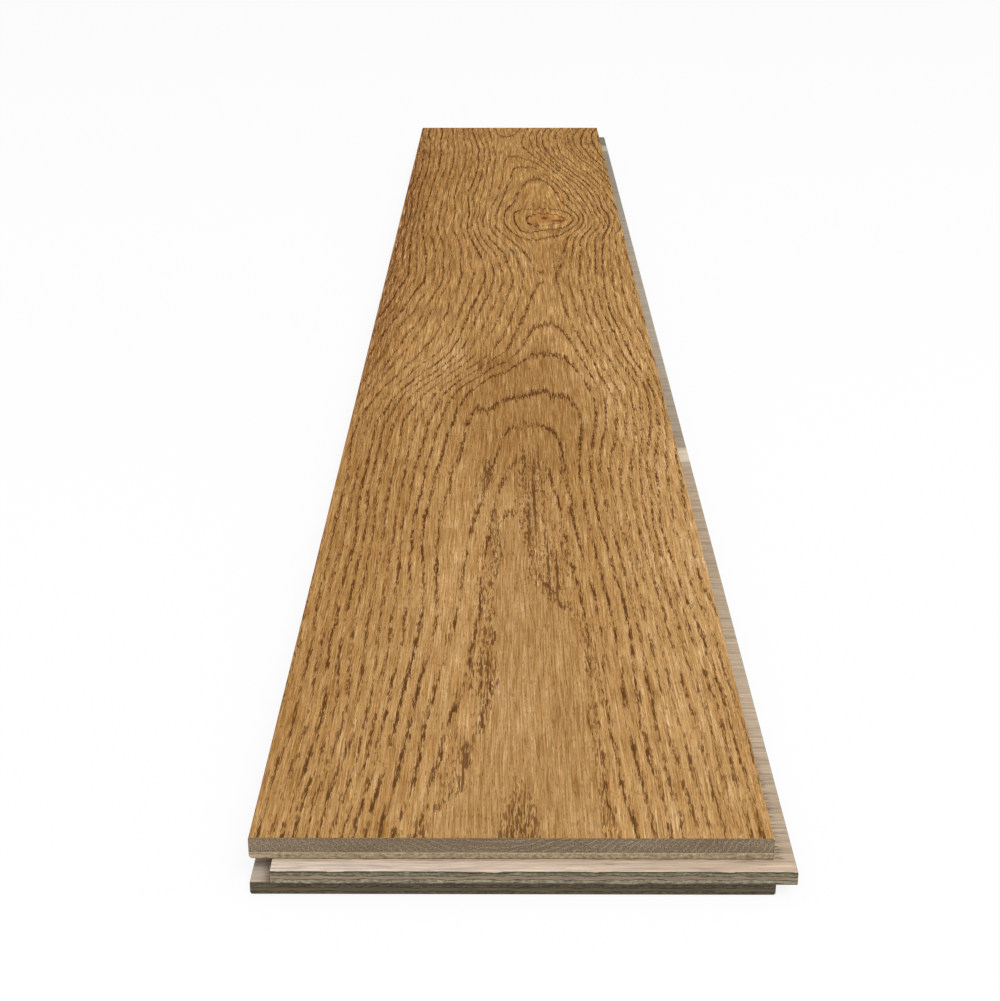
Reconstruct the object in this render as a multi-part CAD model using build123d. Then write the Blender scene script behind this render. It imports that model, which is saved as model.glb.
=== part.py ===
from build123d import *
import os

# Face of the board, between the edges that close against its neighbours (mm).
FACE_WIDTH = 190.0
FACE_LENGTH = 1400.0

# The stack, from the top: one oak lamella on a plywood core.
WEAR_THICKNESS = 6.0
PLY_THICKNESS = 1.56
PLY_COUNT = 9

# Tongue on the right side and the near end.
TONGUE_DEPTH = 8.7
TONGUE_THICKNESS = 5.8
TONGUE_REACH = 7.8
NOSE_RADIUS = 0.7

# Groove on the left side and the far end, which takes the next board's tongue.
GROOVE_FACE_CLEARANCE = 0.15
GROOVE_END_CLEARANCE = 0.7
MOUTH_RADIUS = 1.4
LIP_RADIUS = 0.5

# The lower shoulder stands proud of the face edge, and the lower lip of the groove is cut back for it.
# On the end it follows the tongue's nose, an undercut behind it.
SIDE_SHOULDER = 0.4
END_UNDERCUT = 1.9
SHOULDER_CLEARANCE = 0.3

# Eased edges.
SIDE_ARRIS_BEVEL = 0.6
END_ARRIS_BEVEL = 0.3
SIDE_BOTTOM_RADIUS = 1.4
END_BOTTOM_RADIUS = 0.6

THICKNESS = WEAR_THICKNESS + PLY_COUNT * PLY_THICKNESS
TONGUE_TOP = THICKNESS - TONGUE_DEPTH
TONGUE_BOTTOM = TONGUE_TOP - TONGUE_THICKNESS
GROOVE_TOP = TONGUE_TOP + GROOVE_FACE_CLEARANCE
GROOVE_BOTTOM = TONGUE_BOTTOM - GROOVE_FACE_CLEARANCE
GROOVE_REACH = TONGUE_REACH + GROOVE_END_CLEARANCE
END_SHOULDER = TONGUE_REACH - END_UNDERCUT


def tongue_and_groove(face, shoulder, arris_bevel, bottom_radius):
    """Section of the board on the XY plane: tongue towards +X, groove towards -X, thickness along +Y."""
    half = face / 2
    lip = -half + shoulder + SHOULDER_CLEARANCE
    corners = [
        (lip, 0, bottom_radius),
        (half + shoulder, 0, bottom_radius),
        (half + shoulder, TONGUE_BOTTOM, 0),
        (half + TONGUE_REACH, TONGUE_BOTTOM, NOSE_RADIUS),
        (half + TONGUE_REACH, TONGUE_TOP, NOSE_RADIUS),
        (half, TONGUE_TOP, 0),
        (half, THICKNESS - arris_bevel, 0),
        (half - arris_bevel, THICKNESS, 0),
        (-half + arris_bevel, THICKNESS, 0),
        (-half, THICKNESS - arris_bevel, 0),
        (-half, GROOVE_TOP, MOUTH_RADIUS),
        (-half + GROOVE_REACH, GROOVE_TOP, 0),
        (-half + GROOVE_REACH, GROOVE_BOTTOM, 0),
        (lip, GROOVE_BOTTOM, LIP_RADIUS),
    ]
    outline = Polygon(*[(u, v) for u, v, radius in corners], align=None)
    for u, v, radius in corners:
        if radius > 0:
            corner = outline.vertices().sort_by_distance((u, v, 0))[0]
            outline = fillet(corner, radius)
    return outline


def milled_board():
    """The whole board: the side profile run along its length, met by the end profile run across its width."""
    side = tongue_and_groove(FACE_WIDTH, SIDE_SHOULDER, SIDE_ARRIS_BEVEL, SIDE_BOTTOM_RADIUS)
    end = tongue_and_groove(FACE_LENGTH, END_SHOULDER, END_ARRIS_BEVEL, END_BOTTOM_RADIUS)
    run = 2 * (FACE_LENGTH + FACE_WIDTH)
    along = extrude(Plane.XZ * side, amount=run / 2, both=True)
    across_plane = Plane(origin=(0, 0, 0), x_dir=(0, -1, 0), z_dir=(-1, 0, 0))
    across = extrude(across_plane * end, amount=run / 2, both=True)
    return along & across


def layer(board, top, bottom):
    """The slice of the board between two heights."""
    run = 2 * (FACE_LENGTH + FACE_WIDTH)
    slab = Pos(0, 0, bottom) * Box(run, run, top - bottom, align=(Align.CENTER, Align.CENTER, Align.MIN))
    return board & slab


board = milled_board()
stack = {"oak_wear_layer": (THICKNESS, THICKNESS - WEAR_THICKNESS)}
for number in range(1, PLY_COUNT + 1):
    ply_top = THICKNESS - WEAR_THICKNESS - (number - 1) * PLY_THICKNESS
    stack[f"core_ply_{number}"] = (ply_top, ply_top - PLY_THICKNESS)

os.makedirs("parts", exist_ok=True)
for name, (top, bottom) in stack.items():
    solid = layer(board, top, bottom).solid()
    solid.label = name
    export_step(solid, f"parts/{name}.step")
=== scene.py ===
import math

import bpy
import numpy as np
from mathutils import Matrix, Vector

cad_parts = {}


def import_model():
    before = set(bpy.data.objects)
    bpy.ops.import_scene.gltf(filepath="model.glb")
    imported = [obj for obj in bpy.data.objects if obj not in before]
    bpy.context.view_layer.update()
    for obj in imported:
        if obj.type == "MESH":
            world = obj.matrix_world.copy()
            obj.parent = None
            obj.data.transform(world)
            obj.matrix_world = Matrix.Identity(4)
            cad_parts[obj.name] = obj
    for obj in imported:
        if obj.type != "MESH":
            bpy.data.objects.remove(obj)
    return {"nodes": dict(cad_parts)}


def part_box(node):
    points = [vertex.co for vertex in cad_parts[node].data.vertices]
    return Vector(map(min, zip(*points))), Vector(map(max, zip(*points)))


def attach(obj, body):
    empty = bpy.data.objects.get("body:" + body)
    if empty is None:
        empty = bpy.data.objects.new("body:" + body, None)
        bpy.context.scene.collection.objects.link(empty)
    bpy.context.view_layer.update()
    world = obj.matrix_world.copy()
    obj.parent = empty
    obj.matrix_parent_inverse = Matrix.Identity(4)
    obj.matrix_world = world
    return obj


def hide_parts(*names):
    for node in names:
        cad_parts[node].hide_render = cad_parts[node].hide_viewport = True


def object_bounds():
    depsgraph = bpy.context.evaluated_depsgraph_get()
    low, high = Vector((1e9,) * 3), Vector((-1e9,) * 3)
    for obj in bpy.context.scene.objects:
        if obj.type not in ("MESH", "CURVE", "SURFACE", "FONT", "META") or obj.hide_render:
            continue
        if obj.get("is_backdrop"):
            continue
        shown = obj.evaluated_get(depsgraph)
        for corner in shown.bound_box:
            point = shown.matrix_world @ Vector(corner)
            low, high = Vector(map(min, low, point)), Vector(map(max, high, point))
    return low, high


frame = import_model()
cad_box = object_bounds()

MM = 0.001
nodes = frame["nodes"]


# Node trees

def srgb(red, green, blue):
    """A colour as seen on a screen, 0 to 255, as the linear colour that a shader takes."""
    levels = [value / 255 for value in (red, green, blue)]
    linear = [((v + 0.055) / 1.055) ** 2.4 if v > 0.04045 else v / 12.92 for v in levels]
    return (*linear, 1.0)


class Nodes:
    """Short names for one material's nodes. A value is a number, a colour or another node's output."""

    def __init__(self, name):
        self.material = bpy.data.materials.new(name)
        self.material.use_nodes = True
        self.tree = self.material.node_tree
        self.tree.nodes.clear()
        metres = self.add("ShaderNodeTexCoord").outputs["Object"]
        place = self.add("ShaderNodeVectorMath", metres, operation="SCALE")
        place.inputs["Scale"].default_value = 1 / MM
        self.x, self.y, self.z = self.split(place.outputs["Vector"])

    def add(self, kind, *values, **settings):
        """A new node with these settings, and these values on its first sockets."""
        node = self.tree.nodes.new(kind)
        for name, setting in settings.items():
            setattr(node, name, setting)
        for value, socket in zip(values, node.inputs):
            self.put(value, socket)
        return node

    def put(self, value, socket):
        if isinstance(value, bpy.types.NodeSocket):
            self.tree.links.new(value, socket)
        else:
            socket.default_value = value

    def math(self, operation, *values):
        return self.add("ShaderNodeMath", *values, operation=operation).outputs[0]

    def split(self, vector):
        return self.add("ShaderNodeSeparateXYZ", vector).outputs

    def join(self, x, y, z):
        return self.add("ShaderNodeCombineXYZ", x, y, z).outputs[0]

    def stretched(self, x, y, size_x, size_y, shift=0.0):
        """A point for a pattern whose features are size_x by size_y mm."""
        return self.join(self.math("DIVIDE", x, size_x), self.math("DIVIDE", y, size_y), shift)

    def away(self, x, y, reach_x, reach_y):
        """Squared distance from a point of the face, 1 where the reach ends."""
        dx = self.math("DIVIDE", self.math("SUBTRACT", self.x, x), reach_x)
        dy = self.math("DIVIDE", self.math("SUBTRACT", self.y, y), reach_y)
        return self.math("MULTIPLY_ADD", dx, dx, self.math("MULTIPLY", dy, dy))

    def step(self, value, low, high, low_out=0.0, high_out=1.0):
        """From low_out to high_out as the value goes from low to high, eased at both ends."""
        values = (value, low, high, low_out, high_out)
        return self.add("ShaderNodeMapRange", *values, interpolation_type="SMOOTHSTEP").outputs["Result"]

    def step_line(self, value, low, high):
        """Where the value lies between low and high, 0 to 1."""
        return self.add("ShaderNodeMapRange", value, low, high, interpolation_type="LINEAR").outputs["Result"]

    def noise(self, point, detail=2.0, roughness=0.5):
        node = self.add("ShaderNodeTexNoise", point, noise_dimensions="3D")
        for name, value in (("Scale", 1.0), ("Detail", detail), ("Roughness", roughness)):
            node.inputs[name].default_value = value
        return node.outputs["Fac"]

    def chance(self, value):
        """A number between 0 and 1 that differs for every whole number."""
        node = self.add("ShaderNodeTexWhiteNoise", noise_dimensions="1D")
        self.put(self.math("FLOOR", value), node.inputs["W"])
        return node.outputs["Value"]

    def attribute(self, name):
        return self.add("ShaderNodeAttribute", attribute_name=name).outputs["Fac"]

    def mix(self, share, first, second, mode="MIX"):
        node = self.add("ShaderNodeMix", share, data_type="RGBA", blend_type=mode)
        colour_a, colour_b, colour_out = node.inputs[6], node.inputs[7], node.outputs[2]
        self.put(first, colour_a)
        self.put(second, colour_b)
        return colour_out

    def ramp(self, value, *stops):
        node = self.add("ShaderNodeValToRGB", value)
        elements = node.color_ramp.elements
        while len(elements) < len(stops):
            elements.new(0.5)
        for element, (position, colour) in zip(elements, stops):
            element.position, element.color = position, colour
        return node.outputs["Color"]

    def bright(self, colour, amount):
        """The colour times a number."""
        return self.mix(1.0, colour, self.join(amount, amount, amount), "MULTIPLY")

    def facing(self):
        """How far the surface faces along X, Y and Z, as positive numbers."""
        normal = self.add("ShaderNodeNewGeometry").outputs["True Normal"]
        return self.split(self.add("ShaderNodeVectorMath", normal, operation="ABSOLUTE").outputs["Vector"])

    def finish(self, colour, roughness, height, depth_mm, specular):
        """Principled surface with bump from height, whose full range is depth_mm deep."""
        bump = self.add("ShaderNodeBump")
        self.put(height, bump.inputs["Height"])
        bump.inputs["Strength"].default_value = 1.0
        bump.inputs["Distance"].default_value = depth_mm * MM
        shader = self.add("ShaderNodeBsdfPrincipled")
        self.put(colour, shader.inputs["Base Color"])
        self.put(roughness, shader.inputs["Roughness"])
        self.put(bump.outputs[0], shader.inputs["Normal"])
        shader.inputs["Specular IOR Level"].default_value = specular
        output = self.add("ShaderNodeOutputMaterial")
        self.put(shader.outputs[0], output.inputs["Surface"])
        return self.material


# Growth rings of the oak, as they meet the face. All in mm.
# Stations along the board: y, centre x, ring number there, then for the left and again for the right of the
# centre: flat half width, rounding, ring width.
STATIONS = np.array([
    (-760, 3, 1.5, 30, 15, 4.5, 30, 8, 5.4),
    (-700, 3, 1.6, 30, 15, 4.5, 30, 8, 5.4),
    (-600, 6, 1.9, 26, 15, 5.0, 24, 8, 5.4),
    (-500, 9, 2.4, 22, 30, 5.0, 22, 8, 5.2),
    (-405, 8, 2.8, 27, 25, 5.0, 20, 10, 5.2),
    (-310, 10, 3.2, 30, 20, 5.4, 20, 10, 5.4),
    (-258, 11, 3.4, 32, 15, 5.8, 24, 10, 5.4),
    (-200, 16, 4.0, 34, 15, 5.7, 24, 10, 5.5),
    (-115, 27, 5.0, 5, 12, 8.5, 4, 10, 6.0),
    (-57, 28, 6.0, 6, 12, 8.6, 4, 10, 6.2),
    (0, 27, 6.55, 6, 12, 8.0, 5, 10, 6.5),
    (75, 30, 6.95, 5, 12, 7.75, 4, 10, 6.5),
    (150, 28, 6.7, 8, 12, 7.25, 8, 10, 6.0),
    (203, 24, 6.0, 14, 12, 6.2, 10, 12, 5.6),
    (235, 28, 5.6, 22, 14, 5.65, 15, 14, 5.0),
    (270, 30, 5.6, 25, 14, 5.6, 17, 15, 4.8),
    (330, 28, 5.6, 20, 15, 5.7, 13, 15, 5.0),
    (400, 24, 5.75, 11, 15, 6.1, 8, 15, 5.4),
    (437, 21, 6.0, 6, 15, 6.4, 4, 15, 5.6),
    (485, 14, 7.0, 6, 12, 6.5, 5, 12, 6.2),
    (540, 5, 8.0, 3, 12, 6.6, 3, 12, 6.6),
    (600, 0, 8.55, 3, 12, 6.45, 3, 12, 7.0),
    (650, -2, 8.0, 3, 10, 6.2, 3, 10, 7.0),
    (700, -2, 7.0, 3, 10, 5.8, 3, 10, 7.0),
    (760, -2, 6.0, 3, 10, 5.5, 3, 10, 7.0),
], float)
# The tall finger of older wood in the near third: y, half width, how many rings deep.
FINGER = np.array([
    (-760, 32, 1.3), (-700, 30, 1.35), (-600, 25, 1.45), (-500, 23, 1.65),
    (-405, 22, 1.8), (-310, 18, 1.25), (-258, 17, 0.45), (-235, 17, 0.0), (760, 17, 0.0),
], float)
# How tables of stations are eased along the board: spacing, reach and width of the easing.
EASE_STEP, EASE_REACH, EASE_WIDTH = 2.0, 40.0, 16.0
# Layers of noise, each how much, cell x, cell y, seed: how far the rings wander from side to side, how many
# rings their edges ripple by, and how far the fibres drift.
WANDER = ((2.5, 30, 90, 1), (1.1, 14, 60, 2), (0.6, 6, 26, 3))
RIPPLE = ((0.11, 9, 60, 4), (0.03, 3.5, 20, 7))
DRIFT = ((1.6, 40, 170, 5), (0.5, 14, 60, 6))
# The least slope across the board in rings per mm, and the ring from which widths grow uneven, over how many
# rings, and by how much.
LEAST_SLOPE = 0.01
UNEVEN_FROM, UNEVEN_OVER, UNEVEN = 7, 2, 0.3
# Pits that rings close round: x, y, rings deep, then reach left, right, far, near.
PITS = [
    (32, 268, 2.2, 28, 34, 36, 36),
    (15, 228, 0.7, 9, 9, 30, 30),
    (8, 296, 0.5, 9, 12, 16, 20),
    (3, -730, 1.2, 12, 12, 62, 60),
    (-13, 600, 0.6, 8, 8, 46, 46),
]
# The knot that fibres bend round: x, y, then how far they bend beside it, nearer than it and further than it,
# and the share of the way they are pushed aside.
KNOT_X, KNOT_Y, BEND_BESIDE, BEND_NEAR, BEND_FAR = 30, 268, 38, 75, 120
BEND_SHARE = 0.7
# The pale flame of plain wood in the near half: y, left edge, right edge.
FLAME = np.array([
    (-760, -42, 34), (-690, -31, 34), (-665, -20, 34), (-640, -15, 33), (-600, -10, 33), (-585, -6, 33),
    (-540, -9, 32), (-512, -9, 27), (-494, -8, 17), (-484, -8, 9), (-440, -6, 8), (-405, -6, 5),
    (-392, 1, 1), (-375, 30, -30), (760, 30, -30),
], float)


def noise(x, y, size_x, size_y, seed):
    """Smooth noise between -1 and 1 with cells of size_x by size_y."""
    cells, origin_u, origin_v = 64, 100.37, 100.91
    table = np.random.default_rng(seed).uniform(-1, 1, (cells, cells))
    u, v = x / size_x + origin_u, y / size_y + origin_v
    i, j = np.floor(u).astype(int), np.floor(v).astype(int)
    a, b = u - i, v - j
    a, b = a * a * (3 - 2 * a), b * b * (3 - 2 * b)
    i, next_i = i % cells, (i + 1) % cells
    j, next_j = j % cells, (j + 1) % cells
    near = table[i, j] * (1 - a) + table[next_i, j] * a
    far = table[i, next_j] * (1 - a) + table[next_i, next_j] * a
    return near * (1 - b) + far * b


def disturbed(values, x, y, layers):
    """The values with layers of noise added."""
    for how_much, size_x, size_y, seed in layers:
        values = values + how_much * noise(x, y, size_x, size_y, seed)
    return values


def eased(table, y):
    """Each column of a table of stations at every y, eased over about 30 mm."""
    fine = np.arange(table[0, 0], table[-1, 0] + 1, EASE_STEP)
    reach = np.arange(-EASE_REACH, EASE_REACH + 1, EASE_STEP)
    kernel = np.exp(-(reach / EASE_WIDTH) ** 2)
    kernel /= kernel.sum()
    for column in table.T[1:]:
        raw = np.pad(np.interp(fine, table[:, 0], column), len(reach) // 2, mode="edge")
        yield np.interp(y, fine, np.convolve(raw, kernel, mode="valid"))


def ring_number(x, y):
    """Growth rings counted outwards from the pith, at a point of the face."""
    centre, crest, flat_l, round_l, width_l, flat_r, round_r, width_r = eased(STATIONS, y)
    half_width, depth = eased(FINGER, y)
    u = disturbed(x - centre, x, y, WANDER)
    left = u < 0
    flat, rounding = np.where(left, flat_l, flat_r), np.where(left, round_l, round_r)
    out = np.maximum(np.abs(u) - flat, 0)
    ring = crest + (np.sqrt(out ** 2 + rounding ** 2) - rounding) / np.where(left, width_l, width_r)
    ring = ring + LEAST_SLOPE * np.abs(u)
    ring = ring - depth * np.exp(-(u / half_width) ** 4)
    for at_x, at_y, rings, reach_l, reach_r, reach_far, reach_near in PITS:
        dx, dy = x - at_x, y - at_y
        away = np.hypot(dx / np.where(dx < 0, reach_l, reach_r), dy / np.where(dy < 0, reach_near, reach_far))
        ring = ring - rings * np.exp(-away ** 2)
    ring = disturbed(ring, x, y, RIPPLE)
    outer = np.clip((ring - UNEVEN_FROM) / UNEVEN_OVER, 0, 1)
    return ring + UNEVEN * outer * noise(ring, 0 * ring, 1.2, 1, 9)


def fibre_line(x, y):
    """The fibre that passes a point of the face, named by where it would lie with no knot to bend round."""
    dx, dy = x - KNOT_X, y - KNOT_Y
    along = np.exp(-(dy / np.where(dy < 0, BEND_NEAR, BEND_FAR)) ** 2)
    straight = KNOT_X + dx * (1 - BEND_SHARE * along * np.exp(-(dx / BEND_BESIDE) ** 2))
    return disturbed(straight, x, y, DRIFT)


def flame_depth(x, y):
    """How far a point of the face lies inside the flame, or outside it as a negative number."""
    left, right = (np.interp(y, FLAME[:, 0], edge) for edge in FLAME.T[1:])
    return np.minimum(x - left, right - x)


# The oak layer's mesh: eased edges, grid lines between them, rows of faces down the sides, and the relief.
SIDE_BEVEL, END_BEVEL = 0.6, 0.3
COLUMNS, ROWS, WALL_ROWS = 138, 640, 4
RING_RELIEF, RING_RELIEF_WIDTH, WAVE_RELIEF = 0.07, 1.2, 0.05
# Its materials, in the order of the mesh's slots.
FACE, END, EDGE = 0, 1, 2
SMOOTH_BELOW = math.radians(25)


def grid_lines(low, high, bevel, count):
    """One line on each edge and the rest between the bevels."""
    return np.concatenate([[low], np.linspace(low + bevel, high - bevel, count), [high]])


def ring_slopes(x, y):
    """Rings per mm across the grain, and how steeply rings rise along it where they lie square to it."""
    half_x, half_y = 0.4, 1.5
    across = (ring_number(x + half_x, y) - ring_number(x - half_x, y)) / (2 * half_x)
    along = (ring_number(x, y + half_y) - ring_number(x, y - half_y)) / (2 * half_y)
    slope = np.sqrt(across ** 2 + np.minimum(7.5 * np.abs(along), 0.11) ** 2) + 0.006
    rise = np.minimum(np.abs(along), 0.03) * np.exp(-(across / 0.08) ** 2)
    return slope, rise


def oak_layer():
    """A fine grid for the face, which holds its rings and fibres and its brushed relief, on plain sides."""
    low, high = [np.array(corner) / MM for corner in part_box("oak_wear_layer")]
    xs = grid_lines(low[0], high[0], SIDE_BEVEL, COLUMNS)
    ys = grid_lines(low[1], high[1], END_BEVEL, ROWS)
    x, y = np.meshgrid(xs, ys)
    rows, columns = x.shape
    ring = ring_number(x, y)
    slope, rise = ring_slopes(x, y)

    part = ring - np.floor(ring)
    relief = RING_RELIEF * np.exp(-(part / slope / RING_RELIEF_WIDTH) ** 2)
    relief = relief + WAVE_RELIEF * (1 + noise(x, y, 9, 120, 8))
    edge_x = np.minimum(x - low[0], high[0] - x)
    edge_y = np.minimum(y - low[1], high[1] - y)
    drop = np.maximum(np.maximum(SIDE_BEVEL - edge_x, END_BEVEL - edge_y), 0)
    z = high[2] - np.maximum(drop, np.where(drop > 0, 0, relief))

    # Points of the face, then of each row down the sides, and the loop of points round each row.
    index = np.arange(rows * columns).reshape(rows, columns)
    border = np.concatenate([index[0, :-1], index[:-1, -1], index[-1, :0:-1], index[:0:-1, 0]])
    face_points = np.stack([x, y, z], -1).reshape(-1, 3)
    rim = face_points[border]
    shares = np.arange(1, WALL_ROWS + 1) / WALL_ROWS
    walls = [rim + (0, 0, 1) * (low[2] - rim[:, 2:]) * share for share in shares]
    points = np.concatenate([face_points, *walls]) * MM
    loops = [border] + [rows * columns + k * len(border) + np.arange(len(border)) for k in range(WALL_ROWS)]

    # Faces and their materials: the grid, whose end bevels are end grain, the sides and the bottom.
    top = np.stack([index[:-1, :-1], index[:-1, 1:], index[1:, 1:], index[1:, :-1]], -1).reshape(-1, 4)
    faces = [tuple(f) for f in top.tolist()]
    kinds = np.full((rows - 1, columns - 1), FACE)
    kinds[0], kinds[-1] = END, END
    kinds = kinds.ravel().tolist()
    side_kinds = ([END] * (columns - 1) + [EDGE] * (rows - 1)) * 2
    for upper, lower in zip(loops, loops[1:]):
        quads = np.stack([upper, lower, np.roll(lower, -1), np.roll(upper, -1)], -1)
        faces += [tuple(f) for f in quads.tolist()]
        kinds += side_kinds
    faces.append(tuple(loops[-1][::-1].tolist()))
    kinds.append(EDGE)

    mesh = bpy.data.meshes.new("oak_layer")
    mesh.from_pydata(points.tolist(), [], faces)
    mesh.polygons.foreach_set("material_index", kinds)
    patterns = {
        "ring": ring,
        "ring_slope": slope,
        "ring_rise": rise,
        "fibre": fibre_line(x, y),
        "plain_depth": flame_depth(x, y),
    }
    for name, values in patterns.items():
        data = np.zeros(len(points))
        data[:values.size] = values.ravel()
        for loop in loops[1:]:
            data[loop] = values.ravel()[border]
        mesh.attributes.new(name, "FLOAT", "POINT").data.foreach_set("value", data)
    mesh.shade_smooth()
    mesh.set_sharp_from_angle(angle=SMOOTH_BELOW)
    piece = bpy.data.objects.new("oak_layer", mesh)
    bpy.context.scene.collection.objects.link(piece)
    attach(piece, "root")
    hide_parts("oak_wear_layer")
    return piece


# The oak face's colours: broad tints from the near end to the far end, from left to right, and of the hollow.
NEAR_TINT, FAR_TINT = (0.955, 0.97, 1.05, 1.0), (0.892, 0.846, 0.725, 1.0)
LEFT_TINT, RIGHT_TINT = (0.96, 0.94, 0.89, 1.0), (1.1, 1.13, 1.18, 1.0)
HOLLOW_TINT = (0.81, 0.77, 0.69, 1.0)
# The hollow of darker wood between the arches and the flame: x, y, reach x, reach y.
HOLLOW = (5, -235, 55, 150)
# The knot's warm eye and its two dark checks: x, y, reach x, reach y.
KNOT_EYE = (34, 268, 19, 21)
KNOT_CHECKS = ((30, 272, 3, 6), (41, 262.5, 6, 4))
# Patches where the early wood lies nearly flat with the face, so its pores spread out: x, y, reach x,
# reach y, how crowded they are.
PATCHES = (
    (11, -365, 12, 92, 0.8),
    (-14, -348, 9, 48, 0.55),
    (21, -455, 14, 70, 0.65),
    (-13, -575, 8, 32, 0.7),
    (-22, -650, 8, 42, 0.6),
    (37, 110, 5, 80, 0.6),
    (29, -320, 4, 62, 0.6),
    (31, -390, 6, 12, 0.8),
)
# In the same form: the crowded foot of the flame at the near end, and where the finger's rings fade.
FLAME_FOOT = (3, -695, 10, 42, 0.9)
QUIET_PLACE = (11, -315, 17, 36, 0.85)


class FaceNodes(Nodes):
    """Nodes of the oak face, whose patterns follow the fibres."""

    def __init__(self, name):
        super().__init__(name)
        self.fibre = self.attribute("fibre")
        self.wander = self.along(4.0, 30.0, 3.0)

    def along(self, width, length, seed=0.0, detail=2.0, roughness=0.5):
        """Noise drawn out along the fibres, with features of width by length mm."""
        return self.noise(self.stretched(self.fibre, self.y, width, length, seed), detail, roughness)

    def patch(self, x, y, reach_x, reach_y, most):
        """A patch with an uneven edge: most in its middle, 0 outside it."""
        away = self.math("ADD", self.wander, self.away(x, y, reach_x, reach_y))
        return self.step(away, 0.4, 1.5, most, 0.0)


def ring_bands(n):
    """The bands of early wood where rings start, ragged where pores break them up."""
    slope, rise = n.attribute("ring_slope"), n.attribute("ring_rise")
    arch = n.step(rise, 0.003, 0.01)
    ragged = n.math("SUBTRACT", n.along(0.9, 13.0, detail=3.0, roughness=0.7), 0.5)
    jag = n.math("MULTIPLY", n.step(n.y, -300.0, 300.0, 4.4, 3.6), n.math("MULTIPLY_ADD", arch, -0.5, 1.0))
    shift = n.math("MULTIPLY", ragged, n.math("MULTIPLY", slope, jag))
    spikes = n.math("SUBTRACT", n.along(1.5, 70.0, 61.0, roughness=0.65), 0.5)
    spikes = n.math("MULTIPLY", spikes, n.math("MULTIPLY", rise, 42.0))
    ring = n.math("ADD", n.attribute("ring"), n.math("ADD", shift, spikes))

    # Distances after a ring's start and before the next one's are in mm across the grain.
    part = n.math("FRACT", ring)
    after = n.math("DIVIDE", part, slope)
    before = n.math("DIVIDE", n.math("SUBTRACT", 1.0, part), slope)
    fade = n.math("MULTIPLY", n.step(n.y, -500.0, 400.0, 2.1, 2.0), n.math("MULTIPLY_ADD", arch, -0.25, 1.0))
    band = n.math("MAXIMUM", n.step(after, 0.2, fade, 1.0, 0.0), n.step(before, 0.0, 0.5, 1.0, 0.0))

    # Some rings are weaker than others, and each one comes and goes along the board.
    uneven = n.math("MULTIPLY", n.chance(n.math("ADD", ring, 0.1)), n.step(ring, 5.0, 8.0))
    on_left = n.step(n.x, -50.0, -25.0, 0.15, 0.0)
    near_left = n.math("MULTIPLY", on_left, n.step(n.y, -350.0, -150.0, 1.0, 0.0))
    weakest = n.step(n.y, -600.0, -200.0, 0.33, 0.5)
    strength = n.math("MULTIPLY_ADD", uneven, -0.45, n.math("ADD", near_left, 1.1))
    strength = n.math("MULTIPLY", strength, n.step(n.wander, 0.35, 0.57, weakest, 1.1))
    strength = n.math("MAXIMUM", strength, n.math("MULTIPLY", arch, 0.85))
    strength = n.math("MULTIPLY", strength, n.step(slope, 0.03, 0.07, 0.15, 1.0))
    strength = n.math("MULTIPLY", strength, n.step(n.y, -650.0, 250.0, 0.95, 1.0))
    return n.math("MULTIPLY", band, strength)


def pores(n, ringed, flat):
    """Dashes along the fibres, and painted highlights beside them, where light would catch the edges of the
    brushed relief.
    """
    crowd = n.math("MAXIMUM", ringed, flat)
    grains = n.math("MAXIMUM", ringed, n.math("MULTIPLY", flat, 0.4))
    grains = n.math("MULTIPLY", grains, n.step(n.y, -450.0, 250.0, 0.88, 1.2))

    def dashes(width, length, seed, level, crowding, softness):
        lumps = n.along(width, length, seed, detail=1.0)
        start = n.math("MULTIPLY_ADD", grains, -crowding, level)
        # Painted highlight: a pale rim just outside each dash, standing in for light on the relief's edges.
        pore_highlight = n.step(lumps, n.math("SUBTRACT", start, 0.11), n.math("SUBTRACT", start, 0.02))
        return n.step(lumps, start, n.math("ADD", start, softness)), pore_highlight

    long_pores, long_highlights = dashes(0.85, 9.0, 11.0, 0.655, 0.21, 0.08)
    short_pores, short_highlights = dashes(0.6, 5.5, 17.0, 0.61, 0.145, 0.07)
    long_pores = n.math("MULTIPLY", long_pores, n.math("MULTIPLY_ADD", crowd, 0.45, 0.6))
    short_pores = n.math("MULTIPLY", short_pores, n.math("MULTIPLY_ADD", crowd, 0.5, 0.4))

    # In the flat patches pores lie in long threads, broken into dashes.
    breaks = n.along(0.8, 10.0, 29.0, detail=1.0)
    threads = n.math("MULTIPLY_ADD", breaks, 0.5, n.along(2.1, 120.0, 23.0, detail=1.0))
    start = n.math("MULTIPLY_ADD", flat, -0.16, 0.9)
    threads = n.math("MULTIPLY", n.step(threads, start, n.math("ADD", start, 0.08)), n.step(flat, 0.0, 0.3))
    pore = n.math("MAXIMUM", n.math("MAXIMUM", long_pores, short_pores), n.math("MULTIPLY", threads, 0.95))
    return pore, n.math("MAXIMUM", long_highlights, n.math("MULTIPLY", short_highlights, 0.7))


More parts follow.
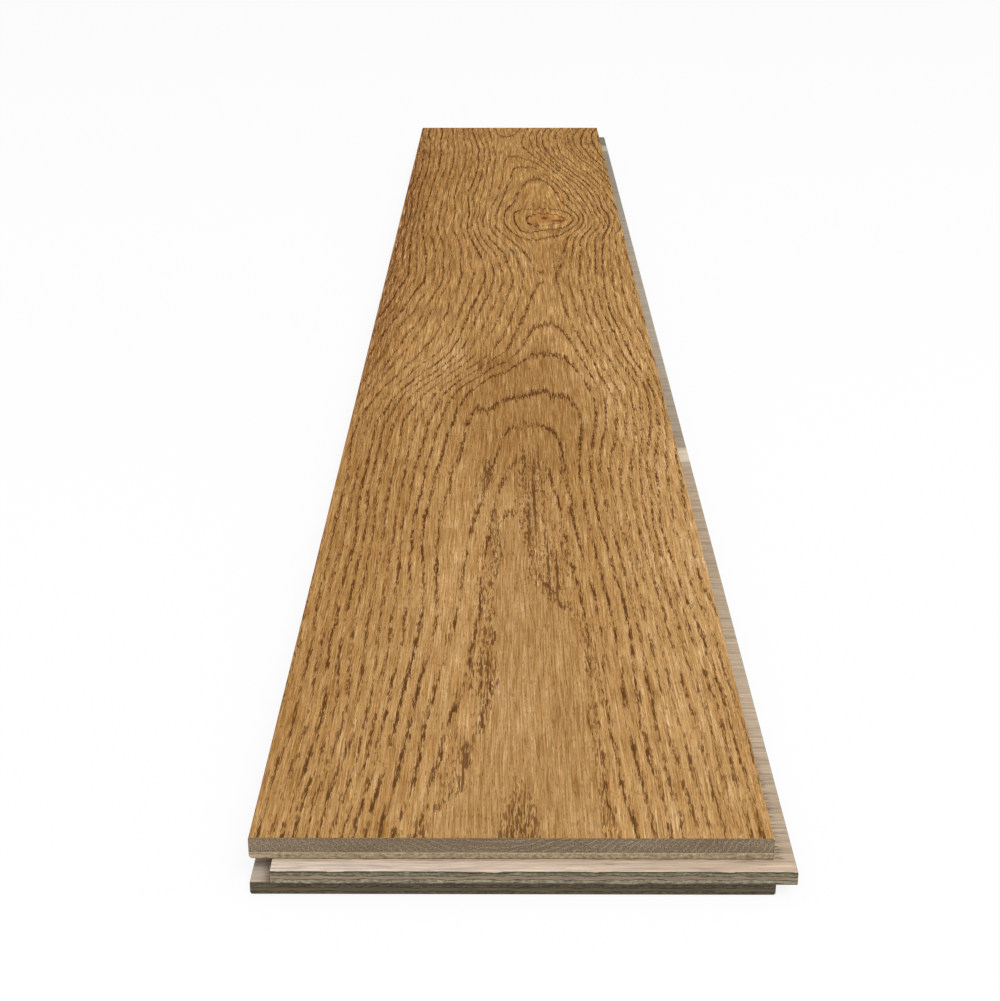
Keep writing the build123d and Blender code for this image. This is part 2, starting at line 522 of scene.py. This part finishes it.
def ground_colour(n, fine, speck, far):
    """Fine streaks along the fibres over broad drifts and tints."""
    drift = n.math("MULTIPLY", n.noise(n.stretched(n.x, n.y, 55.0, 260.0, 41.0)), 0.14)
    drift = n.math("MULTIPLY_ADD", n.along(2.6, 80.0, 31.0, detail=3.0), 0.24, drift)
    tone = n.math("MULTIPLY_ADD", fine, 0.62, drift)
    calm = n.step(n.y, -600.0, -100.0, 0.25, 0.315)
    ground = n.ramp(
        n.step(tone, calm, n.math("SUBTRACT", 1.0, calm)),
        (0.0, srgb(138, 90, 36)),
        (0.4, srgb(182, 136, 78)),
        (0.7, srgb(202, 158, 101)),
        (1.0, srgb(236, 198, 146)),
    )
    ground = n.bright(ground, n.math("ADD", speck, 1.0))

    far_left = n.math("MULTIPLY", n.step(n.x, -92.0, -72.0, 1.0, 0.0), n.step(n.y, -420.0, 60.0))
    far_left = n.math("MULTIPLY", far_left, n.step(n.y, 200.0, 500.0, 1.0, 0.75))
    far_left = n.math("MULTIPLY", far_left, n.step(fine, 0.41, 0.6, 0.85, 0.0))
    ground = n.mix(far_left, ground, srgb(122, 70, 36))

    lengthwise = n.mix(far, NEAR_TINT, FAR_TINT)
    crosswise = n.mix(n.step_line(n.x, -95.0, 95.0), LEFT_TINT, RIGHT_TINT)
    tint = n.mix(1.0, lengthwise, crosswise, "MULTIPLY")
    hollow = n.step(n.away(*HOLLOW), 0.1, 1.2, 1.0, 0.0)
    tint = n.mix(hollow, tint, n.mix(1.0, tint, HOLLOW_TINT, "MULTIPLY"))
    return n.mix(1.0, ground, tint, "MULTIPLY")


def knot(n, colour, speck):
    """The colour with the knot over it: a warm eye with two dark checks."""
    eye = n.step(n.away(*KNOT_EYE), 0.1, 1.1, 0.6, 0.0)
    colour = n.mix(eye, colour, n.bright(srgb(170, 116, 58), n.math("MULTIPLY_ADD", speck, 0.5, 1.0)))
    for place in KNOT_CHECKS:
        colour = n.mix(n.step(n.away(*place), 0.3, 1.3, 0.8, 0.0), colour, srgb(92, 42, 16))
    return colour


def oak_face():
    """The brushed and oiled face."""
    n = FaceNodes("oak_face")
    far = n.step_line(n.y, -650.0, 400.0)

    # The flame is plain inside a ragged edge, with pores crowded round it.
    edge = n.along(2.2, 26.0, 71.0)
    inside = n.math("ADD", n.attribute("plain_depth"), n.math("MULTIPLY_ADD", edge, 16.0, -8.0))
    outside = n.step(inside, 0.0, 1.5, 1.0, 0.0)
    collar = n.math("MULTIPLY_ADD", n.step(n.y, -640.0, -480.0), -7.0, -5.0)
    rim = n.math("MULTIPLY", n.step(inside, collar, -0.5), n.step(n.wander, 0.38, 0.58, 0.48, 0.8))

    # How crowded pores are: in the ring bands, round the flame and at its foot, and in the flat patches.
    band = n.math("MULTIPLY", ring_bands(n), outside)
    band = n.math("MULTIPLY", band, n.math("SUBTRACT", 1.0, n.patch(*QUIET_PLACE)))
    ringed = n.math("MULTIPLY", n.math("MAXIMUM", band, rim), outside)
    ringed = n.math("MAXIMUM", ringed, n.patch(*FLAME_FOOT))
    flat = 0.0
    for place in PATCHES:
        flat = n.math("MAXIMUM", flat, n.patch(*place))
    flat = n.math("MULTIPLY", flat, outside)
    crowd = n.math("MAXIMUM", ringed, flat)
    pore, pore_highlight = pores(n, ringed, flat)

    fine = n.along(0.6, 26.0, 21.0, roughness=0.7)
    speck = n.math("SUBTRACT", n.along(1.5, 42.0, 51.0, detail=1.0), 0.5)
    speck = n.math("MULTIPLY", speck, n.step(n.y, -500.0, 300.0, 0.35, 1.6))
    hairs = n.step(n.along(0.45, 24.0, 27.0, detail=1.0), 0.55, 0.68)
    colour = n.bright(ground_colour(n, fine, speck, far), n.step(outside, 0.0, 1.0, 0.92, 1.0))
    # Painted highlight: lighter beside the pores, as if light caught their edges.
    colour = n.bright(colour, n.math("MULTIPLY_ADD", pore_highlight, 0.18, 0.935))
    colour = n.mix(n.math("MULTIPLY", hairs, 0.35), colour, srgb(136, 88, 38))
    stain = n.math("MULTIPLY", n.math("ADD", band, crowd), n.step(n.y, -500.0, 400.0, 0.16, 0.18))
    colour = n.mix(stain, colour, srgb(132, 82, 36))
    pore_colour = n.mix(far, srgb(96, 60, 28), srgb(86, 40, 8))
    colour = n.mix(n.math("MULTIPLY", pore, 0.9), colour, pore_colour)
    colour = knot(n, colour, speck)

    rough = n.math("MULTIPLY_ADD", pore, 0.2, n.math("MULTIPLY_ADD", fine, 0.12, 0.65))
    relief = n.math("MULTIPLY_ADD", hairs, 0.2, n.math("MULTIPLY", pore, 0.7))
    height = n.math("SUBTRACT", n.math("MULTIPLY", fine, 0.4), relief)
    return n.finish(colour, rough, height, depth_mm=0.4, specular=0.03)


# The end grain: where the pith lies above the face, rings per mm, and the darker rim just below the face.
PITH_X, PITH_Z, RINGS_PER_MM = -6.0, 72.0, 0.48
RIM_LOW, RIM_HIGH = 18.9, 19.9


def oak_end():
    """End grain: growth rings round a pith above the face, with open pores and thin pale lines."""
    n = Nodes("oak_end_grain")
    dx, dz = n.math("SUBTRACT", n.x, PITH_X), n.math("SUBTRACT", n.z, PITH_Z)
    radius = n.math("SQRT", n.math("MULTIPLY_ADD", dx, dx, n.math("MULTIPLY", dz, dz)))
    waver = n.noise(n.stretched(n.x, n.z, 8.0, 5.0, 1.0))
    breaks = n.noise(n.stretched(n.x, n.z, 1.6, 1.6, 2.0))
    cells = n.noise(n.stretched(n.x, n.z, 0.5, 0.5, 7.0), roughness=0.7)
    drift = n.noise(n.stretched(n.x, n.z, 22.0, 7.0, 5.0))

    tone = n.math("MULTIPLY_ADD", cells, 0.85, n.math("MULTIPLY", drift, 0.15))
    colour = n.ramp(
        n.step_line(tone, 0.3, 0.7),
        (0.0, srgb(80, 67, 51)),
        (0.4, srgb(115, 100, 81)),
        (0.6, srgb(130, 114, 93)),
        (1.0, srgb(178, 162, 138)),
    )
    part = n.math("FRACT", n.math("MULTIPLY_ADD", radius, RINGS_PER_MM, n.math("MULTIPLY", waver, 1.5)))
    line = n.step(n.math("ABSOLUTE", n.math("SUBTRACT", part, 0.5)), 0.05, 0.14, 1.0, 0.0)
    line = n.math("MULTIPLY", line, n.step(breaks, 0.36, 0.56))
    line = n.math("MULTIPLY", line, n.step(n.x, -60.0, 30.0, 0.25, 0.5))
    colour = n.mix(line, colour, srgb(176, 160, 136))
    colour = n.mix(n.math("MULTIPLY", n.step(n.z, RIM_LOW, RIM_HIGH), 0.4), colour, srgb(104, 86, 66))
    height = n.math("MULTIPLY_ADD", cells, 0.8, n.math("MULTIPLY", line, 0.2))
    return n.finish(colour, 0.85, height, depth_mm=0.25, specular=0.05)


def oak_edge():
    """Milled long edges, bare oak with straight grain."""
    n = Nodes("oak_edge")
    deep = n.math("ADD", n.x, n.z)
    grain = n.noise(n.stretched(n.y, deep, 45.0, 0.7), detail=3.0, roughness=0.6)
    colour = n.ramp(grain, (0.3, srgb(140, 112, 78)), (0.5, srgb(170, 139, 100)), (0.7, srgb(190, 160, 120)))
    pore = n.step(n.noise(n.stretched(n.y, deep, 7.0, 0.5, 4.0)), 0.58, 0.66)
    colour = n.mix(n.math("MULTIPLY", pore, 0.7), colour, srgb(100, 74, 48))
    height = n.math("SUBTRACT", n.math("MULTIPLY", grain, 0.5), pore)
    return n.finish(colour, 0.8, height, depth_mm=0.2, specular=0.05)


oak = oak_layer()
for make in (oak_face, oak_end, oak_edge):
    oak.data.materials.append(make())


# The plywood core: for each ply, whether its fibres run along the board, then its colours on the broad faces,
# along the fibres and across them.
PLIES = {
    1: (True, srgb(176, 156, 128), srgb(164, 144, 116), srgb(160, 142, 116)),
    2: (False, None, srgb(186, 166, 143), srgb(128, 117, 100)),
    3: (True, srgb(190, 170, 146), srgb(146, 130, 108), srgb(116, 109, 91)),
    4: (False, srgb(190, 170, 146), srgb(140, 124, 104), srgb(140, 130, 112)),
    5: (True, srgb(190, 170, 146), srgb(146, 130, 108), srgb(138, 129, 110)),
    6: (False, srgb(198, 184, 166), srgb(102, 92, 76), srgb(120, 110, 92)),
    7: (True, srgb(190, 170, 146), srgb(120, 106, 86), srgb(92, 84, 68)),
    8: (False, srgb(190, 170, 146), srgb(96, 86, 70), srgb(120, 108, 88)),
    9: (True, srgb(180, 158, 130), srgb(120, 106, 86), srgb(86, 77, 62)),
}
# Plies whose material needs more: the top one, the one with the tongue's top, and the groove's floor.
TOP_PLY, TONGUE_PLY, GROOVE_PLY = 1, 2, 6
# Plies with a dark glue line below them.
GLUED = range(2, 9)
TONGUE_TOP = 11.34
# The veneer on top of the side tongue, in pieces butted end to end: y and colour there.
TONGUE_SPAN = 710
TONGUE_VENEERS = (
    (-700, (180, 161, 139)),
    (-560, (188, 169, 146)),
    (-430, (174, 155, 132)),
    (-300, (184, 165, 142)),
    (-297, (214, 199, 177)),
    (-277, (214, 199, 177)),
    (-274, (160, 147, 129)),
    (-100, (174, 162, 144)),
    (150, (176, 166, 149)),
    (420, (160, 151, 135)),
    (610, (158, 149, 134)),
    (617, (190, 185, 174)),
    (640, (190, 185, 174)),
    (647, (136, 131, 122)),
)


def tongue_tones(n):
    """Colour of the veneer that the tongue's top lies in: pieces butted along the side, a fresher end."""
    stops = [((y + TONGUE_SPAN) / (2 * TONGUE_SPAN), srgb(*tone)) for y, tone in TONGUE_VENEERS]
    along = n.ramp(n.step_line(n.y, -TONGUE_SPAN, TONGUE_SPAN), *stops)
    across = n.ramp(
        n.step_line(n.x, -90.0, 105.0),
        (0.0, srgb(212, 196, 180)),
        (0.5, srgb(207, 187, 167)),
        (1.0, srgb(194, 172, 149)),
    )
    return n.mix(n.step(n.y, -703.0, -699.0, 1.0, 0.0), along, across)


def milled(n, facing, number):
    """A veneer where it is cut through: layered along its fibres, open cells across them."""
    along_y, _, edge, end = PLIES[number]
    fibre, across, by_fibre = (n.y, n.x, facing[1]) if along_y else (n.x, n.y, facing[0])
    seed = 7.0 * number
    layers = n.noise(n.stretched(fibre, n.z, 18.0, 0.9, seed), detail=3.0, roughness=0.6)
    cells = n.noise(n.stretched(across, n.z, 1.6, 1.1, seed + 1), roughness=0.6)
    spots = n.noise(n.stretched(across, n.z, 6.0, 1.3, seed + 2))
    edge_colour = n.bright(edge, n.math("MULTIPLY_ADD", layers, 1.2, 0.4))
    end_tone = n.math("MULTIPLY_ADD", cells, 2.0, n.math("MULTIPLY_ADD", spots, 1.2, -0.6))
    return n.mix(n.step(by_fibre, 0.45, 0.7), edge_colour, n.bright(end, end_tone))


def glue_line(n, facing, colour, height, upper, number):
    """The colour of a ply with the glue line at a height, which sways up and down between two veneers."""
    seed = 3.0 * upper
    sway = n.noise(n.stretched(n.x, n.y, 9.0, 9.0, seed), detail=3.0, roughness=0.6)
    body = n.noise(n.stretched(n.x, n.y, 4.0, 4.0, seed + 50))
    off = n.math("SUBTRACT", n.math("SUBTRACT", n.z, height), n.math("MULTIPLY_ADD", sway, 2.2, -1.1))
    if upper == number:
        colour = n.mix(n.step(off, -0.05, 0.05, 1.0, 0.0), colour, milled(n, facing, number + 1))
    else:
        colour = n.mix(n.step(off, -0.05, 0.05), colour, milled(n, facing, number - 1))
    swell = 1.1 if upper == TONGUE_PLY else 0.7
    half = n.math("MAXIMUM", n.math("MULTIPLY_ADD", body, swell, -0.2), 0.03)
    inner, outer = n.math("MULTIPLY", half, 0.5), n.math("MULTIPLY", half, 1.3)
    glue = n.step(n.math("ABSOLUTE", off), inner, outer, 0.85, 0.0)
    return n.mix(glue, colour, srgb(58, 51, 40))


def tongue_root(n, facing, colour):
    """The strip of the tongue's ply above the tongue, with a dark line where the tongue meets it: partly a
    glue line, partly painted shade in the corner.
    """
    colour = n.mix(n.step(n.z, TONGUE_TOP, TONGUE_TOP + 0.1), colour, milled(n, facing, TOP_PLY))
    # Painted shade over a glue line: a dark line at the foot of the wall, in the corner above the tongue's
    # top.
    root = n.noise(n.stretched(n.x, n.y, 14.0, 14.0, 90.0))
    line = n.step(n.z, TONGUE_TOP + 0.1, n.math("MULTIPLY_ADD", root, 1.0, TONGUE_TOP), 0.8, 0.0)
    line = n.math("MULTIPLY", line, n.step(n.z, TONGUE_TOP - 0.02, TONGUE_TOP))
    return n.mix(line, colour, srgb(66, 55, 42))


def saw_cuts(n, broad):
    """Dark nicks across the root of the side tongue, near the tongued end."""
    cuts = n.step(n.noise(n.stretched(n.x, n.y, 5.0, 0.8, 95.0)), 0.48, 0.6)
    reach = n.math("MULTIPLY", n.step(n.x, 97.0, 100.0, 1.0, 0.0), n.step(n.y, -700.0, -560.0, 0.8, 0.0))
    reach = n.math("MULTIPLY", reach, n.step(n.y, -702.0, -699.0))
    return n.mix(n.math("MULTIPLY", cuts, reach), broad, srgb(92, 76, 58))


def ply(number):
    """A veneer of the core: its milled edges with glue lines, and its broad faces."""
    n = Nodes(f"ply_{number}")
    bottom, top = [corner[2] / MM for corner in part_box(f"core_ply_{number}")]
    facing = n.facing()
    colour = milled(n, facing, number)
    if number == TOP_PLY:
        specks = n.noise(n.stretched(n.x, n.y, 1.8, 1.8, 80.0))
        pale = n.step(n.z, n.math("MULTIPLY_ADD", specks, -1.6, top + 0.2), top, 0.0, 0.6)
        colour = n.mix(pale, colour, srgb(204, 188, 160))
    for height, upper in ((top, number - 1), (bottom, number)):
        if upper in GLUED:
            colour = glue_line(n, facing, colour, height, upper, number)
    if number == TONGUE_PLY:
        colour = tongue_root(n, facing, colour)

    # The broad faces, with streaks and short checks along the fibres.
    along_y, face, _, _ = PLIES[number]
    fibre, across = (n.y, n.x) if along_y else (n.x, n.y)
    seed = 7.0 * number
    streaks = n.noise(n.stretched(fibre, across, 42.0, 1.7, seed + 3), detail=3.0, roughness=0.65)
    threads = n.noise(n.stretched(fibre, across, 13.0, 0.5, seed + 4))
    checks = n.step(n.noise(n.stretched(fibre, across, 8.0, 0.6, seed + 5)), 0.6, 0.7)
    face = tongue_tones(n) if number == TONGUE_PLY else face
    tone = n.math("MULTIPLY_ADD", streaks, 1.3, n.math("MULTIPLY_ADD", threads, 0.9, -0.1))
    broad = n.mix(n.math("MULTIPLY", checks, 0.4), n.bright(face, tone), srgb(116, 96, 76))
    if number == TONGUE_PLY:
        broad = saw_cuts(n, broad)
    if number == GROOVE_PLY:
        # Painted shade: the groove's floor darkens towards its inner wall, under the overhanging upper lip.
        broad = n.mix(n.step(n.x, -92.0, -86.5, 0.3, 0.7), broad, srgb(128, 112, 96))
    colour = n.mix(n.step(facing[2], 0.6, 0.85), colour, broad)

    height = n.math("MULTIPLY_ADD", streaks, 0.4, n.math("MULTIPLY", threads, 0.6))
    return n.finish(colour, 0.88, height, depth_mm=0.22, specular=0.04)


for number in PLIES:
    slot = nodes[f"core_ply_{number}"].material_slots[0]
    slot.link = "OBJECT"
    slot.material = ply(number)


# Stage, light and camera, in metres. The floor lies a little below the board and shows mostly white.
WHITE = (1.0, 1.0, 1.0, 1.0)
FLOOR_HALF, FLOOR_DROP, FLOOR_WHITE_SHARE = 30.0, 0.0002, 0.88
FLOOR_PAINT = (0.9, 0.9, 0.9, 1.0)
WORLD_STRENGTH = 0.6
LAMP_PLACE, LAMP_TARGET, LAMP_SIZE, LAMP_WATTS = (1.2, -3.2, 4.2), (0, -0.1, 0), 3.2, 170
# The camera, from a fit to the face's corners: focal length in pixels of an image this wide, place, turns.
IMAGE_WIDTH, FOCAL_PIXELS, SENSOR_MM = 1000, 1778, 36.0
CAMERA_PLACE_MM = (-1.235, -1247.168, 374.236)
CAMERA_TURNS_DEG = (67.8487, 0.0413, 0.2674)


def shown(tree):
    """1 for a ray that shows the background, straight, mirrored or through glass, 0 for one that lights."""
    rays = tree.nodes.new("ShaderNodeLightPath")
    share = rays.outputs["Is Camera Ray"]
    for kind in ("Is Glossy Ray", "Is Transmission Ray"):
        either = tree.nodes.new("ShaderNodeMath")
        either.operation = "MAXIMUM"
        tree.links.new(share, either.inputs[0])
        tree.links.new(rays.outputs[kind], either.inputs[1])
        share = either.outputs[0]
    return share


def floor():
    mesh = bpy.data.meshes.new("floor")
    signs = ((-1, -1), (1, -1), (1, 1), (-1, 1))
    mesh.from_pydata([(x * FLOOR_HALF, y * FLOOR_HALF, 0) for x, y in signs], [], [(0, 1, 2, 3)])
    piece = bpy.data.objects.new("floor", mesh)
    piece.location.z = -FLOOR_DROP
    bpy.context.scene.collection.objects.link(piece)
    piece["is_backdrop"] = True
    material = bpy.data.materials.new("floor")
    material.use_nodes = True
    tree = material.node_tree
    tree.nodes.clear()
    paint = tree.nodes.new("ShaderNodeBsdfDiffuse")
    paint.inputs["Color"].default_value = FLOOR_PAINT
    glow = tree.nodes.new("ShaderNodeEmission")
    glow.inputs["Strength"].default_value = 1.0
    share = tree.nodes.new("ShaderNodeMath")
    share.operation = "MULTIPLY"
    share.inputs[1].default_value = FLOOR_WHITE_SHARE
    blend = tree.nodes.new("ShaderNodeMixShader")
    output = tree.nodes.new("ShaderNodeOutputMaterial")
    tree.links.new(shown(tree), share.inputs[0])
    tree.links.new(share.outputs[0], blend.inputs[0])
    tree.links.new(paint.outputs[0], blend.inputs[1])
    tree.links.new(glow.outputs[0], blend.inputs[2])
    tree.links.new(blend.outputs[0], output.inputs["Surface"])
    mesh.materials.append(material)


def world():
    scene = bpy.context.scene
    scene.world = bpy.data.worlds.new("studio")
    scene.world.use_nodes = True
    tree = scene.world.node_tree
    tree.nodes.clear()
    light, white = tree.nodes.new("ShaderNodeBackground"), tree.nodes.new("ShaderNodeBackground")
    light.inputs["Color"].default_value, light.inputs["Strength"].default_value = WHITE, WORLD_STRENGTH
    white.inputs["Color"].default_value, white.inputs["Strength"].default_value = WHITE, 1.0
    blend = tree.nodes.new("ShaderNodeMixShader")
    output = tree.nodes.new("ShaderNodeOutputWorld")
    tree.links.new(shown(tree), blend.inputs[0])
    tree.links.new(light.outputs[0], blend.inputs[1])
    tree.links.new(white.outputs[0], blend.inputs[2])
    tree.links.new(blend.outputs[0], output.inputs["Surface"])


def lamp():
    data = bpy.data.lights.new("key", "AREA")
    data.shape, data.size, data.energy = "DISK", LAMP_SIZE, LAMP_WATTS
    piece = bpy.data.objects.new("key", data)
    piece.location = LAMP_PLACE
    away = np.array(LAMP_PLACE) - np.array(LAMP_TARGET)
    yaw = math.atan2(away[0], -away[1])
    pitch = math.atan2(math.hypot(away[0], away[1]), away[2])
    piece.rotation_euler = (pitch, 0, yaw)
    bpy.context.scene.collection.objects.link(piece)


def camera():
    data = bpy.data.cameras.new("camera")
    data.sensor_fit, data.sensor_width = "HORIZONTAL", SENSOR_MM
    data.lens = FOCAL_PIXELS * SENSOR_MM / IMAGE_WIDTH
    data.clip_start, data.clip_end = 0.01, 100
    piece = bpy.data.objects.new("camera", data)
    piece.location = [coordinate * MM for coordinate in CAMERA_PLACE_MM]
    piece.rotation_euler = [math.radians(turn) for turn in CAMERA_TURNS_DEG]
    bpy.context.scene.collection.objects.link(piece)
    bpy.context.scene.camera = piece


floor()
world()
lamp()
camera()
bpy.context.scene.view_settings.view_transform = "Standard"

boxes = {"cad": cad_box, "visual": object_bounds()}
{name: [list(corner) for corner in box] for name, box in boxes.items()}
